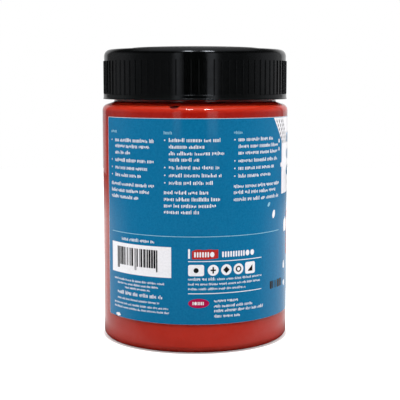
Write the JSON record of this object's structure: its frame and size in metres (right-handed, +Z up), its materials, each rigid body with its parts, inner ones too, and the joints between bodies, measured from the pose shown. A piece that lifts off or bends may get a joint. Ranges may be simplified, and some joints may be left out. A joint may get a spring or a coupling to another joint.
{
  "type": "paint jar",
  "caption": "Wide-mouth cylindrical jar of craft paint: clear threaded body with a wrap-around label, filled with red paint, closed by a ribbed black screw cap with a liner.",
  "frame": {"origin": "centre of the foot, on the surface the jar stands on", "axes": "+Z up along the jar's axis; -Y is the side with the label's printed panels; +X to the right of that view"},
  "size_m": [0.0821, 0.0822, 0.1274],
  "materials": {
    "clear_pet": "gloss",
    "red_paint": "gloss",
    "label_film": "satin",
    "white_foam": "matte",
    "black_plastic": "gloss"
  },
  "bodies": {
    "jar": {"jar_body": "clear_pet", "paint_fill": "red_paint", "wrap_label": "label_film"},
    "liner": {"cap_liner": "white_foam"},
    "cap": {"cap_shell": "black_plastic"}
  },
  "joints": [
    {"name": "cap_lift", "type": "slide", "parent": "jar", "child": "liner", "axis": [0, 0, 1], "range_m": [0, 0.0233]},
    {"name": "cap_turn", "type": "hinge", "parent": "liner", "child": "cap", "pos_m": [0, 0, 0.1159], "axis": [0, 0, 1], "range_deg": [0, 1980]}
  ],
  "couplings": [
    {"joint": "cap_lift", "follows": "cap_turn", "m_per_rad": 0.00067376}
  ]
}
